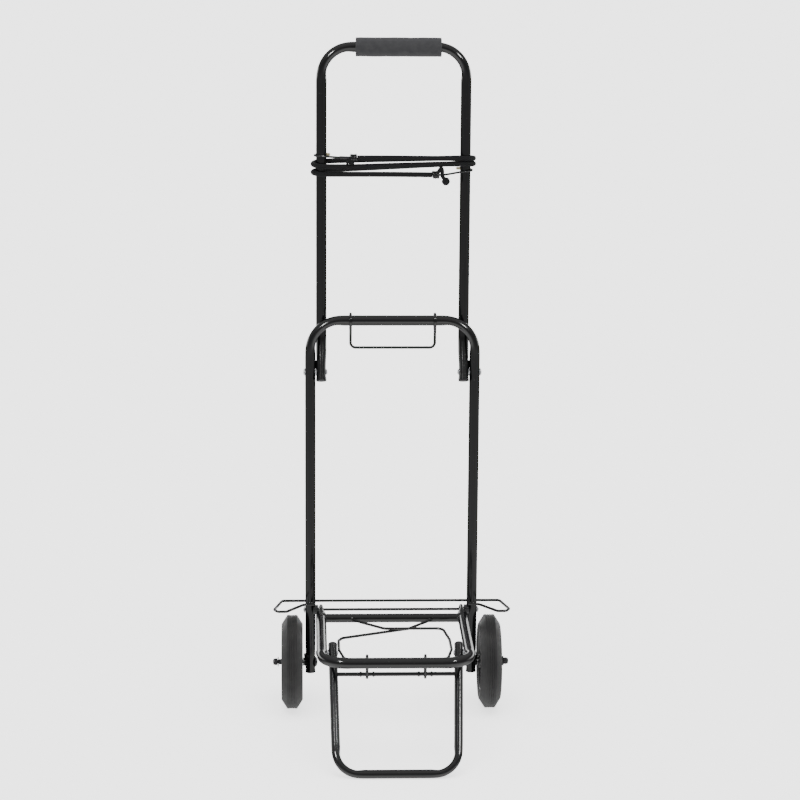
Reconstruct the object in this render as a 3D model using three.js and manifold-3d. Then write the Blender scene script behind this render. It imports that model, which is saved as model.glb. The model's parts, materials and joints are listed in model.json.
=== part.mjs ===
// A folding luggage cart: two nested tube U-frames that fold at rivets, a drop-down platform on a
// propping stand, two wheels on separate axle bolts, and an elastic cord hooked round the handle.
// Millimetres, +Z up. Inside the cart group the main frame stands in the plane y = 0 and the
// platform reaches towards -Y; the group is then moved so that its footprint is centred on the origin.
import * as THREE from 'three';
import { mergeVertices } from 'three/addons/utils/BufferGeometryUtils.js';
import Module from 'manifold-3d';

const wasm = await Module();
wasm.setup();

// ---- driving dimensions ----
const GAP = 0.3; // clearance between touching pieces
const TUBE_R = 8; // frame, handle and platform tube
const WALL = 1;
const STAND_R = 6.5; // stand tube
const WIRE_R = 2;
const LINK_WIRE_R = 1.9;

const WHEEL_R = 75;
const WHEEL_W = 34;
const WHEEL_X = 158.3; // middle of each wheel
const AXLE_Z = WHEEL_R;
const BOLT_R = 3;

const FRAME_X = 129; // half the distance between the main legs' axes
const FRAME_TOP = 632;
const FRAME_FOOT = 58;
const FRAME_BEND = 48;

const PIVOT_Z = 550; // handle rivets
const HANDLE_X = 111.75;
const HANDLE_TOP = 1056;
const HANDLE_BACK = 17; // how far the upper handle stands behind its pivots
const HANDLE_KINK_Z = 600;
const HANDLE_BEND = 46;
const HANDLE_TAIL = 12; // tube left below the rivet
const HANDLE_PINCH = 0.91; // the tube's width at the rivet, against its round width

const HINGE_Z = 162; // platform hinge rod
const PLATFORM_X = 112.25;
const PLATFORM_REACH = 280; // hinge rod to the front bar's axis
const PLATFORM_BEND = 40;
const CROSS_REACH = 48;
const CROSS_R = 7;
const PIN_REACH = 230; // hinge rod to the stand's pins

const FOOT_REACH = 334; // hinge rod to the stand's foot bar, level
const STAND_TOP_X = 95.5;
const STAND_FOOT_X = 91;
const STAND_BEND = 36;
const STAND_TAIL = 12; // tube left above the pins
const ROD_DROP = 33; // pins to the stand's cross rod, along the legs
const ROD_R = 3;

const LOOP_REACH = 249; // hinge rod to the support wire's front run
const LOOP_Z = 158.6;
const LINK_X = 44;
const LINK_BEND = 5.4;

const GUARD_Z = 173.5;
const BAIL_X = 66;
const BAIL_DROP = 43;
const GRIP_LENGTH = 132;
const GRIP_R = 15;
const GRIP_SHIFT = 7;
const CORD_R = 4;

// ---- worked out from them ----
const PIN = new THREE.Vector2(-PIN_REACH, HINGE_Z); // (y, z)
const FOOT = new THREE.Vector2(-FOOT_REACH, STAND_R);
const LEG_LENGTH = PIN.distanceTo(FOOT);
const LEG_DIRECTION = FOOT.clone().sub(PIN).normalize();
const ROD = PIN.clone().addScaledVector(LEG_DIRECTION, ROD_DROP);
const LOOP = new THREE.Vector2(-LOOP_REACH, LOOP_Z);
const FOOTPRINT_SHIFT = (FOOT_REACH + STAND_R - WHEEL_R) / 2;

// ---- materials ----
function material(color, roughness, metalness = 0) {
  return new THREE.MeshStandardMaterial({ color, roughness, metalness });
}
const paint = material(0x1a1a1c, 0.25, 0.2);
const wirePaint = material(0x1c1c1e, 0.3, 0.2);
const foam = material(0x4b4b4c, 0.95);
const rubber = material(0x38383a, 0.75);
const plastic = material(0x17171a, 0.3);
const zinc = material(0xb9bcc0, 0.35, 1);
const blackSteel = material(0x2a2a2c, 0.4, 0.6);
const elastic = material(0x1b1b1e, 0.9);
const tipPlastic = material(0xd8cda8, 0.5);

// ---- paths ----
const vec = (x, y, z) => new THREE.Vector3(x, y, z);

// A path that is met exactly at its own points, so straight runs need no points in between.
class Route extends THREE.Curve {
  constructor(points) {
    super();
    this.points = points;
  }
  get last() {
    return this.points.length - 1;
  }
  getPointAt(u, target = new THREE.Vector3()) {
    return target.copy(this.points[Math.round(u * this.last)]);
  }
  getTangentAt(u, target = new THREE.Vector3()) {
    const i = Math.round(u * this.last);
    const here = this.points[i];
    target.set(0, 0, 0);
    if (i > 0) target.add(here.clone().sub(this.points[i - 1]).normalize());
    if (i < this.last) target.add(this.points[i + 1].clone().sub(here).normalize());
    return target.normalize();
  }
}

// Turns corners into arcs: each corner is { at: Vector3, bend: radius }, or a plain Vector3.
function rounded(corners, degreesPerStep = 18) {
  const at = corners.map((c) => c.at ?? c);
  const points = [at[0]];
  for (let i = 1; i < at.length - 1; i++) {
    const into = at[i].clone().sub(at[i - 1]).normalize();
    const out = at[i + 1].clone().sub(at[i]).normalize();
    const turn = into.angleTo(out);
    const radius = corners[i].bend ?? 0;
    if (radius === 0 || turn < 1e-6) {
      points.push(at[i]);
      continue;
    }
    const axis = into.clone().cross(out).normalize();
    const start = at[i].clone().addScaledVector(into, -radius * Math.tan(turn / 2));
    const centre = start.clone().addScaledVector(axis.clone().cross(into), radius);
    const steps = Math.max(2, Math.ceil(THREE.MathUtils.radToDeg(turn) / degreesPerStep));
    for (let k = 0; k <= steps; k++) {
      const arm = start.clone().sub(centre).applyAxisAngle(axis, (turn * k) / steps);
      points.push(centre.clone().add(arm));
    }
  }
  points.push(at.at(-1));
  return points;
}

const corner = (x, y, z, bend) => ({ at: vec(x, y, z), bend });

// The same path seen in the mirror x = 0, walked back the other way.
function mirrored(corners) {
  return corners.toReversed().map((c) => {
    const p = c.at ?? c;
    const twin = vec(-p.x, p.y, p.z);
    return c.at ? { at: twin, bend: c.bend } : twin;
  });
}

// ---- solids ----
function ring(radius, sides) {
  return Array.from({ length: sides }, (_, k) => {
    const angle = ((k + 0.5) / sides) * 2 * Math.PI;
    return new THREE.Vector2(radius * Math.cos(angle), radius * Math.sin(angle));
  });
}

// A round bar along the points, or a tube where it has a bore.
function bar(points, radius, { bore = 0, sides = 12 } = {}) {
  const shape = new THREE.Shape(ring(radius, sides));
  if (bore) shape.holes.push(new THREE.Path(ring(bore, 8)));
  return new THREE.ExtrudeGeometry(shape, {
    steps: points.length - 1,
    extrudePath: new Route(points),
    bevelEnabled: false,
  });
}

const wire = (points, radius = WIRE_R) => bar(points, radius, { sides: 8 });

// Turns a closed outline of [radius, x] points, or one that ends on the axis, about the X axis.
function turned(outline, segments = 20, phase = 0) {
  const points = outline.map(([r, x]) => new THREE.Vector2(r, x));
  return new THREE.LatheGeometry(points, segments, phase).rotateZ(-Math.PI / 2);
}

// A washer or sleeve about the X axis, from x = from to x = to.
function sleeve(inner, outer, from, to, segments = 16) {
  return turned([[inner, from], [outer, from], [outer, to], [inner, to], [inner, from]], segments);
}

// A bolt or rivet along X: steps of [radius, x], closed onto the axis at both ends.
function pin(steps, segments = 12) {
  return turned([[0, steps[0][1]], ...steps, [0, steps.at(-1)[1]]], segments);
}

function toSolid(geometry) {
  const bare = geometry.clone();
  bare.deleteAttribute('normal');
  bare.deleteAttribute('uv');
  const welded = mergeVertices(bare, 1e-4);
  return new wasm.Manifold(new wasm.Mesh({
    numProp: 3,
    vertProperties: Float32Array.from(welded.attributes.position.array),
    triVerts: Uint32Array.from(welded.index.array),
  }));
}

function toGeometry(solid) {
  const { vertProperties, triVerts } = solid.getMesh();
  const geometry = new THREE.BufferGeometry();
  geometry.setAttribute('position', new THREE.BufferAttribute(vertProperties, 3));
  geometry.setIndex(new THREE.BufferAttribute(triVerts, 1));
  geometry.computeVertexNormals();
  return geometry;
}

function cut(geometry, ...tools) {
  return toGeometry(tools.reduce((solid, tool) => solid.subtract(toSolid(tool)), toSolid(geometry)));
}

function joined(first, ...rest) {
  return toGeometry(rest.reduce((solid, piece) => solid.add(toSolid(piece)), toSolid(first)));
}

// A drill along X that goes right through the cart, or from x = from to x = to.
function drill(radius, y, z, from = -200, to = 200) {
  return pin([[radius, from], [radius, to]], 12).translate(0, y, z);
}

// Presses tubes flat in X about their own axis at x = ±axisX. pressed(p) is 0 where the tube stays
// round and 1 where it is flat; spread is the direction that it widens in, away from middle(p).
function pressFlat(geometry, { axisX, flat, wide, spread, middle, pressed }) {
  const position = geometry.attributes.position;
  const p = new THREE.Vector3();
  for (let i = 0; i < position.count; i++) {
    p.fromBufferAttribute(position, i);
    const amount = pressed(p);
    const centre = middle(p).setX(Math.sign(p.x) * axisX);
    const off = p.clone().sub(centre);
    p.addScaledVector(spread, off.dot(spread) * amount * (wide - 1));
    p.x = centre.x + off.x * (1 - amount * (1 - flat));
    position.setXYZ(i, p.x, p.y, p.z);
  }
  return geometry;
}

const smooth = THREE.MathUtils.smoothstep;

// ---- assembly ----
const cart = new THREE.Group();
cart.position.y = FOOTPRINT_SHIFT;

function add(name, geometry, look, place = [0, 0, 0]) {
  const mesh = new THREE.Mesh(geometry, look);
  mesh.name = name;
  mesh.position.set(...place);
  cart.add(mesh);
}

// Adds a piece and its mirror image; shape(side) is built for side = -1 (left) and 1 (right).
function addPair(name, shape, look, place = [0, 0]) {
  for (const [side, word] of [[-1, 'left'], [1, 'right']]) {
    add(`${name}_${word}`, shape(side), look, [0, ...place]);
  }
}

// A turned pair: the outline is given for the right side and mirrored for the left.
function turnedPair(name, outline, look, place, segments, phase) {
  const shape = (side) => {
    const mirroredOutline = outline.map(([r, x]) => [r, side * x]);
    return turned(side > 0 ? mirroredOutline : mirroredOutline.toReversed(), segments, phase);
  };
  addPair(name, shape, look, place);
}

// ---- main frame ----
function mainFrame() {
  const left = [vec(-FRAME_X, 0, FRAME_FOOT), vec(-FRAME_X, 0, 84), vec(-FRAME_X, 0, 93),
    vec(-FRAME_X, 0, 102), corner(-FRAME_X, 0, FRAME_TOP, FRAME_BEND)];
  const tube = bar(rounded([...left, ...mirrored(left)]), TUBE_R, { bore: TUBE_R - WALL });
  const squeezed = pressFlat(tube, {
    axisX: FRAME_X,
    flat: 0.85,
    wide: 1.1,
    spread: vec(0, 1, 0),
    middle: (p) => vec(0, 0, p.z),
    pressed: (p) => 1 - smooth(p.z, 84, 102),
  });
  return cut(
    squeezed,
    drill(BOLT_R + GAP, 0, AXLE_Z),
    drill(WIRE_R + GAP, 0, HINGE_Z),
    drill(BOLT_R + GAP, 0, PIVOT_Z),
  );
}
add('main_frame_tube', mainFrame(), paint);

const GUARD_Y = TUBE_R + WIRE_R + 0.4; // the guard wire lies against the legs, front and back
const wing = [vec(-122, -GUARD_Y, 0), corner(-139, -GUARD_Y, 0, 14), corner(-167, -50, 0, 6),
  corner(-181, -50, 0, 6), corner(-186.5, -38, 0, 8), corner(-174, GUARD_Y, 0, 6)];
add('wheel_guard_wire', wire(rounded([...wing, ...mirrored(wing)], 20)), wirePaint, [0, 0, GUARD_Z]);

// ---- wheels and axles ----
const LEG_SQUEEZED = TUBE_R * 0.85;
const SPACER_FROM = FRAME_X + LEG_SQUEEZED + GAP;
const HUB_IN = WHEEL_X - WHEEL_W / 2;
const HUB_OUT = WHEEL_X + WHEEL_W / 2;
const BUSH_R = 4.4;
const WASHER_FROM = HUB_OUT + 4.7;
const NUT_FROM = WASHER_FROM + 1.6 + GAP;
const HEAD_TO = FRAME_X - LEG_SQUEEZED - GAP;
const BOLT_END = 189.3;
const AXLE = [0, AXLE_Z];

turnedPair('axle_bolt', [[0, HEAD_TO - 5.3], [4, HEAD_TO - 5], [7.2, HEAD_TO - 3.2], [8.5, HEAD_TO - 1],
  [8.5, HEAD_TO], [BOLT_R, HEAD_TO], [BOLT_R, BOLT_END], [0, BOLT_END]], blackSteel, AXLE, 12);
turnedPair('hub_spacer', [[BOLT_R + GAP, SPACER_FROM], [7, SPACER_FROM], [7, HUB_IN - GAP],
  [BOLT_R + GAP, HUB_IN - GAP], [BOLT_R + GAP, SPACER_FROM]], plastic, AXLE, 16);
turnedPair('axle_bush', [[BOLT_R + GAP, HUB_IN], [BUSH_R, HUB_IN], [BUSH_R, WASHER_FROM - GAP],
  [BOLT_R + GAP, WASHER_FROM - GAP], [BOLT_R + GAP, HUB_IN]], blackSteel, AXLE, 16);
turnedPair('axle_washer', [[BOLT_R + GAP, WASHER_FROM], [7.7, WASHER_FROM], [7.7, WASHER_FROM + 1.6],
  [BOLT_R + GAP, WASHER_FROM + 1.6], [BOLT_R + GAP, WASHER_FROM]], blackSteel, AXLE, 20);
const NUT_BORE = (BOLT_R + GAP) / Math.cos(Math.PI / 6); // a six-sided bore that clears the bolt
turnedPair('axle_nut', [[NUT_BORE, NUT_FROM], [5.8, NUT_FROM], [5.8, NUT_FROM + 4.8],
  [4.9, NUT_FROM + 6.6], [NUT_BORE, NUT_FROM + 6.6], [NUT_BORE, NUT_FROM]], blackSteel, AXLE, 6);

const TYRE_SEGMENTS = 40;
const CROWN_R = WHEEL_R / Math.cos(Math.PI / TYRE_SEGMENTS); // so that a flat facet touches the floor
const RIM_R = 51;
const tyre = [[RIM_R, -13], [RIM_R + 2, -16], [60, -17], [CROWN_R, -7.5], [CROWN_R, 7.5], [60, 17],
  [RIM_R + 2, 16], [RIM_R, 13], [RIM_R, -13]].map(([r, x]) => [r, x + WHEEL_X]);
turnedPair('tyre', tyre, rubber, AXLE, TYRE_SEGMENTS, Math.PI / TYRE_SEGMENTS);

const RIM_OUTER = RIM_R - GAP;
const hub = [[BUSH_R + GAP, -17], [11, -17], [12, -3], [44, -3], [46, -15], [RIM_OUTER, -15],
  [RIM_OUTER, 15], [46, 15], [44, 3], [12, 3], [11, 17], [BUSH_R + GAP, 17], [BUSH_R + GAP, -17]];
turnedPair('hub', hub.map(([r, x]) => [r, x + WHEEL_X]), plastic, AXLE, 24);

// ---- handle ----
const PIVOT_TILT = new THREE.Vector2(HANDLE_BACK, HANDLE_KINK_Z - PIVOT_Z).normalize(); // (y, z)

function handleTube() {
  const low = (s) => vec(-HANDLE_X, PIVOT_TILT.x * s, PIVOT_Z + PIVOT_TILT.y * s);
  const left = [low(-HANDLE_TAIL), low(12), low(19), low(26),
    corner(-HANDLE_X, HANDLE_BACK, HANDLE_KINK_Z, 40),
    corner(-HANDLE_X, HANDLE_BACK, HANDLE_TOP, HANDLE_BEND)];
  const tube = bar(rounded([...left, ...mirrored(left)]), TUBE_R, { bore: TUBE_R - WALL });
  const along = vec(0, PIVOT_TILT.x, PIVOT_TILT.y);
  const pivot = vec(0, 0, PIVOT_Z);
  const reach = (p) => p.clone().sub(pivot).dot(along);
  const squeezed = pressFlat(tube, {
    axisX: HANDLE_X,
    flat: HANDLE_PINCH,
    wide: 1.08,
    spread: vec(0, PIVOT_TILT.y, -PIVOT_TILT.x),
    middle: (p) => pivot.clone().addScaledVector(along, reach(p)),
    pressed: (p) => 1 - smooth(reach(p), 10, 28),
  });
  return cut(squeezed, drill(BOLT_R + GAP, 0, PIVOT_Z));
}
add('handle_tube', handleTube(), paint);

const TAIL_TILT = -Math.atan2(PIVOT_TILT.x, PIVOT_TILT.y); // leans the plugs back with the legs
function endPlug(side) {
  const plug = new THREE.CylinderGeometry(1, 1, 2.4, 16);
  plug.rotateX(Math.PI / 2).scale(8, 9, 1);
  plug.translate(0, 0, -HANDLE_TAIL - 1.2 - GAP).rotateX(TAIL_TILT);
  return plug.translate(side * HANDLE_X, 0, PIVOT_Z);
}
addPair('handle_end_plug', endPlug, plastic);

const HANDLE_OUT = HANDLE_X + TUBE_R * HANDLE_PINCH;
const HANDLE_IN = HANDLE_X - TUBE_R * HANDLE_PINCH;
turnedPair('handle_rivet', [[0, HANDLE_IN - 2.3], [3.2, HANDLE_IN - 2.1], [4.6, HANDLE_IN - 1.2],
  [4.8, HANDLE_IN - GAP], [BOLT_R, HANDLE_IN - GAP], [BOLT_R, FRAME_X + TUBE_R + GAP],
  [5.6, FRAME_X + TUBE_R + GAP], [5.2, FRAME_X + TUBE_R + 1.6], [3, FRAME_X + TUBE_R + 2.6],
  [0, FRAME_X + TUBE_R + 2.9]], zinc, [0, PIVOT_Z], 12);
addPair('handle_spacer', (side) => {
  const [from, to] = [HANDLE_OUT + GAP, FRAME_X - TUBE_R - GAP];
  return side > 0
    ? sleeve(BOLT_R + GAP, 6, from, to)
    : sleeve(BOLT_R + GAP, 6, -to, -from);
}, zinc, [0, PIVOT_Z]);

const GRIP_BORE = TUBE_R + 1.4; // clears the start of the handle's bend
add('foam_grip', turned([[GRIP_BORE, -GRIP_LENGTH / 2], [GRIP_R, -GRIP_LENGTH / 2],
  [GRIP_R, GRIP_LENGTH / 2], [GRIP_BORE, GRIP_LENGTH / 2], [GRIP_BORE, -GRIP_LENGTH / 2]]
  .map(([r, x]) => [r, x + GRIP_SHIFT]), 24), foam, [0, HANDLE_BACK, HANDLE_TOP]);

// ---- elastic cord, wound round both legs of the handle ----
const WRAP_R = TUBE_R + CORD_R + 0.7;

// A half turn round the outside of a leg, from its front to its back or the other way.
function halfTurn(side, fromZ, toZ, frontFirst) {
  return Array.from({ length: 7 }, (_, k) => {
    const angle = (frontFirst ? k : 6 - k) * (Math.PI / 6);
    return vec(
      side * (HANDLE_X + WRAP_R * Math.sin(angle)),
      HANDLE_BACK - WRAP_R * Math.cos(angle),
      fromZ + ((toZ - fromZ) * k) / 6,
    );
  });
}

const FRONT_Y = HANDLE_BACK - WRAP_R;
const BACK_Y = HANDLE_BACK + WRAP_R;
const cordRoute = [
  vec(-56, FRONT_Y, 886.5), vec(0, FRONT_Y, 886.5), vec(60, FRONT_Y, 886),
  ...halfTurn(1, 886, 884, true),
  vec(55, BACK_Y, 882.5), vec(-50, BACK_Y, 880),
  ...halfTurn(-1, 878, 873, false),
  vec(-60, FRONT_Y, 873), vec(0, FRONT_Y, 875), vec(70, FRONT_Y, 877),
  ...halfTurn(1, 877.5, 875.5, true),
  vec(55, BACK_Y, 872.5), vec(-50, BACK_Y, 867),
  ...halfTurn(-1, 864.5, 861, false),
  vec(-60, FRONT_Y, 861), vec(0, FRONT_Y, 861), vec(60, FRONT_Y, 860.5),
];
add('bungee_cord', wire(cordRoute, CORD_R), elastic);

// Each hook is a wire J that passes the front of a leg, goes round it and ends behind its inner side,
// and its coiled tail grips the cord's end.
const HOOK_R = 1.5;
const HOOK_WRAP = TUBE_R + HOOK_R + 0.9;
const HOOK_STEP = 24; // degrees between the points of its turn round the leg
const COIL_R = 6.2;
const TIP_R = 2.2;
const TIP_LENGTH = 10;
function hookWire(side, tailX, tailZ, legZ, rise) {
  const tail = [vec(side * tailX, FRONT_Y, tailZ), vec(side * (tailX + 8), FRONT_Y, tailZ)];
  const turn = Array.from({ length: 10 }, (_, k) => {
    const angle = THREE.MathUtils.degToRad(HOOK_STEP * k - 10);
    return vec(
      side * (HANDLE_X + HOOK_WRAP * Math.sin(angle)),
      HANDLE_BACK - HOOK_WRAP * Math.cos(angle),
      legZ + (rise * k) / 9,
    );
  });
  return { turn, points: [...tail, ...turn] };
}
const hooks = {
  left: hookWire(-1, 66, 886.5, 888.5, 1),
  right: hookWire(1, 70, 860.5, 865.5, 2.4),
};
const coils = { left: [-66.5, -56.4, 886.5], right: [60.4, 70.5, 860.5] };
for (const [word, hook] of Object.entries(hooks)) {
  const [from, to, z] = coils[word];
  const coil = pin([[COIL_R, from], [COIL_R, to]], 12).translate(0, FRONT_Y, z);
  add(`bungee_hook_${word}`, joined(wire(hook.points, HOOK_R), coil), wirePaint);
  const end = hook.turn.at(-1);
  const heading = end.clone().sub(hook.turn.at(-2)).normalize();
  const from3 = end.clone().addScaledVector(heading, GAP);
  const tip = [from3, from3.clone().addScaledVector(heading, TIP_LENGTH)];
  add(`hook_tip_${word}`, bar(tip, TIP_R, { sides: 10 }), tipPlastic);
}

// ---- bail on the main frame's top bar ----
function bailWire() {
  const reach = TUBE_R + WIRE_R + 0.5;
  const apex = 2 * reach; // below the bar, where both sides of the eye meet at 60 degrees
  const open = 6.8; // the wire's end stops this far short of the apex
  const eye = [vec(-BAIL_X, open * 0.5, -apex + open * 0.866)];
  for (let angle = -30; angle <= 210; angle += 24) {
    const a = THREE.MathUtils.degToRad(angle);
    eye.push(vec(-BAIL_X, reach * Math.cos(a), reach * Math.sin(a)));
  }
  const left = [...eye, corner(-BAIL_X, 0, -apex, 5), corner(-BAIL_X, 0, -BAIL_DROP, 8)];
  return wire(rounded([...left, ...mirrored(left)], 30));
}
add('top_bail', bailWire(), wirePaint, [0, 0, FRAME_TOP]);

// ---- platform ----
const PLATFORM_FLAT = 7.5 / (2 * TUBE_R);
const TIP = 8.6; // the flat end's half height and how far it goes behind the hinge rod

function platformTube() {
  const y = (reach) => -reach;
  const left = [vec(-PLATFORM_X, y(-TIP), 0), vec(-PLATFORM_X, y(-6.5), 0), vec(-PLATFORM_X, y(-2), 0),
    vec(-PLATFORM_X, y(14), 0), vec(-PLATFORM_X, y(22), 0), vec(-PLATFORM_X, y(30), 0),
    corner(-PLATFORM_X, y(PLATFORM_REACH), 0, PLATFORM_BEND)];
  const tube = bar(rounded([...left, ...mirrored(left)]), TUBE_R, { bore: TUBE_R - WALL });
  const squeezed = pressFlat(tube, {
    axisX: PLATFORM_X,
    flat: PLATFORM_FLAT,
    wide: TIP / TUBE_R,
    spread: vec(0, 0, 1),
    middle: (p) => vec(0, p.y, 0),
    pressed: (p) => 1 - smooth(-p.y, 12, 32),
  });
  const position = squeezed.attributes.position;
  for (let i = 0; i < position.count; i++) { // rounds the flat tips
    const behind = position.getY(i) / TIP;
    if (behind > 0) position.setZ(i, position.getZ(i) * Math.sqrt(Math.max(0.3, 1 - behind ** 2)));
  }
  return cut(squeezed, drill(WIRE_R + GAP, 0, 0), drill(2.75 + GAP, -PIN_REACH, 0));
}
add('platform_tube', platformTube(), paint, [0, 0, HINGE_Z]);

function crossTube() {
  const half = PLATFORM_X - 1;
  const tube = bar([vec(-half, 0, 0), vec(half, 0, 0)], CROSS_R, { bore: CROSS_R - WALL });
  const copes = [-1, 1].map((side) => bar([vec(side * PLATFORM_X, 30, 0),
    vec(side * PLATFORM_X, -30, 0)], TUBE_R + GAP));
  const wireHoles = [-1, 1].map((side) => bar([vec(side * 62, 0, 0), vec(side * 62, -20, 0)], 3.2));
  return cut(tube, ...copes, ...wireHoles);
}
add('platform_cross_tube', crossTube(), paint, [0, -CROSS_REACH, HINGE_Z]);

add('platform_hinge_rod', pin([[WIRE_R, -140.4], [WIRE_R, 140.4]], 12), wirePaint, [0, 0, HINGE_Z]);
turnedPair('rod_cap', [[WIRE_R + GAP, FRAME_X + TUBE_R + GAP], [5, FRAME_X + TUBE_R + GAP],
  [5, FRAME_X + TUBE_R + 1.2], [3.4, FRAME_X + TUBE_R + 2.2], [WIRE_R + GAP, FRAME_X + TUBE_R + 2.2],
  [WIRE_R + GAP, FRAME_X + TUBE_R + GAP]], zinc, [0, HINGE_Z], 16);

function saddle(side) {
  const [from, to] = [PLATFORM_X + TUBE_R * PLATFORM_FLAT + GAP, FRAME_X - 4];
  const block = new THREE.BoxGeometry(to - from, 17, 13).translate((side * (from + to)) / 2, 0, 0);
  const leg = bar([vec(side * FRAME_X, 0, -20), vec(side * FRAME_X, 0, 20)], TUBE_R + GAP, { sides: 24 });
  return cut(block, leg, drill(WIRE_R + GAP, 0, 0));
}
addPair('hinge_saddle', saddle, plastic, [0, HINGE_Z]);

// ---- stand ----
const standAt = (x, along) => {
  const p = PIN.clone().addScaledVector(LEG_DIRECTION, along);
  return vec(x, p.x, p.y);
};
const standX = (along) => STAND_TOP_X + ((STAND_FOOT_X - STAND_TOP_X) * along) / LEG_LENGTH;

function standTube() {
  const left = [standAt(-standX(-STAND_TAIL), -STAND_TAIL),
    { at: standAt(-STAND_FOOT_X, LEG_LENGTH), bend: STAND_BEND }];
  const tube = bar(rounded([...left, ...mirrored(left)]), STAND_R, { bore: STAND_R - WALL });
  const rodEnd = STAND_TOP_X + 1;
  return cut(
    tube,
    drill(2.75 + GAP, PIN.x, PIN.y),
    drill(ROD_R + GAP, ROD.x, ROD.y, -rodEnd, rodEnd),
  );
}
add('stand_tube', standTube(), paint);

function standCap(side) {
  const axis = [standAt(side * standX(-STAND_TAIL - GAP), -STAND_TAIL - GAP),
    standAt(side * standX(-STAND_TAIL - 5), -STAND_TAIL - 5)];
  const dome = new THREE.LatheGeometry([[0, 0], [6.9, 0], [6.9, 2.4], [5.6, 4.2], [3, 5.2], [0, 5.5]]
    .map(([r, h]) => new THREE.Vector2(r, h)), 16);
  const up = axis[1].clone().sub(axis[0]).normalize();
  dome.applyQuaternion(new THREE.Quaternion().setFromUnitVectors(vec(0, 1, 0), up));
  return dome.translate(axis[0].x, axis[0].y, axis[0].z);
}
addPair('stand_cap', standCap, plastic);

const PIN_R = 2.75;
const SIDE_IN = PLATFORM_X - TUBE_R;
turnedPair('stand_pin', [[0, 87.4], [2.6, 87.5], [3.9, 88.1], [4, 88.7], [PIN_R, 88.7],
  [PIN_R, PLATFORM_X + TUBE_R + GAP], [4.2, PLATFORM_X + TUBE_R + GAP],
  [3.4, PLATFORM_X + TUBE_R + 1.1], [0, PLATFORM_X + TUBE_R + 1.4]], zinc, [PIN.x, PIN.y], 12);
turnedPair('stand_bush', [[PIN_R + GAP, SIDE_IN - 1.95], [5.5, SIDE_IN - 1.95], [5.5, SIDE_IN - GAP],
  [PIN_R + GAP, SIDE_IN - GAP], [PIN_R + GAP, SIDE_IN - 1.95]], zinc, [PIN.x, PIN.y], 16);

add('stand_rod', pin([[ROD_R, -91], [ROD_R, 91]], 10), wirePaint, [0, ROD.x, ROD.y]);
for (const [i, x] of [-LINK_X - 9.7, -LINK_X + 9.7, LINK_X - 9.7, LINK_X + 9.7].entries()) {
  const crimp = turned([[ROD_R + GAP, -2], [4, -2], [4.4, 0], [4, 2], [ROD_R + GAP, 2],
    [ROD_R + GAP, -2]], 12);
  add(`rod_crimp_${i + 1}`, crimp, wirePaint, [x, ROD.x, ROD.y]);
}

// ---- links from the stand's rod to the support wire ----
function linkWire() {
  const up = LOOP.clone().sub(ROD);
  const length = up.length();
  up.normalize();
  const across = new THREE.Vector2(up.y, -up.x);
  const at = (h, w) => {
    const p = ROD.clone().addScaledVector(up, h).addScaledVector(across, w);
    return vec(0, p.x, p.y);
  };
  const points = [at(length / 2 - 1, LINK_BEND)];
  for (let a = 0; a <= 180; a += 30) {
    const t = THREE.MathUtils.degToRad(a);
    points.push(at(-LINK_BEND * Math.sin(t), LINK_BEND * Math.cos(t)));
  }
  for (let a = 180; a >= 0; a -= 30) {
    const t = THREE.MathUtils.degToRad(a);
    points.push(at(length + LINK_BEND * Math.sin(t), LINK_BEND * Math.cos(t)));
  }
  points.push(at(length / 2 + 1, LINK_BEND));
  return wire(points, LINK_WIRE_R);
}
for (const [side, word] of [[-1, 'left'], [1, 'right']]) {
  add(`link_${word}`, linkWire(), wirePaint, [side * LINK_X, 0, 0]);
}

// ---- support wire: one wire that crosses itself like a ribbon and hinges in the cross tube ----
function supportWire() {
  const z = (reach) => {
    const share = (reach - CROSS_REACH) / (LOOP_REACH - CROSS_REACH);
    return THREE.MathUtils.lerp(HINGE_Z, LOOP_Z, share);
  };
  const at = (x, reach, bend, lift = 0) => corner(x, -reach, z(reach) + lift, bend);
  const over = 2.3; // half the height between the wires where they cross
  return wire(rounded([
    at(-78, CROSS_REACH).at,
    at(-62, CROSS_REACH, 4),
    at(-60, 60, 8),
    at(-14, 109, 8, over),
    at(77, 109, 12, over),
    at(85.5, 158, 30),
    at(86, 205, 25),
    at(78, LOOP_REACH, 9),
    at(-78, LOOP_REACH, 9),
    at(-86, 205, 25),
    at(-86, 160, 10),
    at(-80, 148, 8),
    at(24, 96, 10, -over),
    at(60, 60, 8),
    at(62, CROSS_REACH, 4),
    at(78, CROSS_REACH).at,
  ], 30));
}
add('support_wire', supportWire(), wirePaint);

export default cart;
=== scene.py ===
"""Looks of the folding luggage cart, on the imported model's frame.

Metres, +Z up. The main frame stands in the plane y = FRAME_Y and the platform reaches towards -Y.
"""

import json
import math

import bpy
from mathutils import Matrix, Vector, noise


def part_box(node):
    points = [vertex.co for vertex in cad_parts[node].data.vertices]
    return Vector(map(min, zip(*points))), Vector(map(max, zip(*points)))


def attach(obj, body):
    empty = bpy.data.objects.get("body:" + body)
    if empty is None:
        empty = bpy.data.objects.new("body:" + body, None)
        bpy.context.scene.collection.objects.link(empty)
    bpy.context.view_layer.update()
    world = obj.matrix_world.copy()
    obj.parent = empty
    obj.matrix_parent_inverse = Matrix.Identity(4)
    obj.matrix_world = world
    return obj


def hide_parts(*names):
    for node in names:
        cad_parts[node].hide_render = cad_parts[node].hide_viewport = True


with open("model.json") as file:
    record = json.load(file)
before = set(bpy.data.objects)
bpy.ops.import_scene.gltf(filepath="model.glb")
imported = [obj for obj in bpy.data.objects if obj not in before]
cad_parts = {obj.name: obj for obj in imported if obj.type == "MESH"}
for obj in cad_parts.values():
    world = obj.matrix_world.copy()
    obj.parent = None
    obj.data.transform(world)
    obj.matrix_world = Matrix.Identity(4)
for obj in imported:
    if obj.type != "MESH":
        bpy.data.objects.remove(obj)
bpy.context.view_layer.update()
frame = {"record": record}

MM = 0.001
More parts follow.
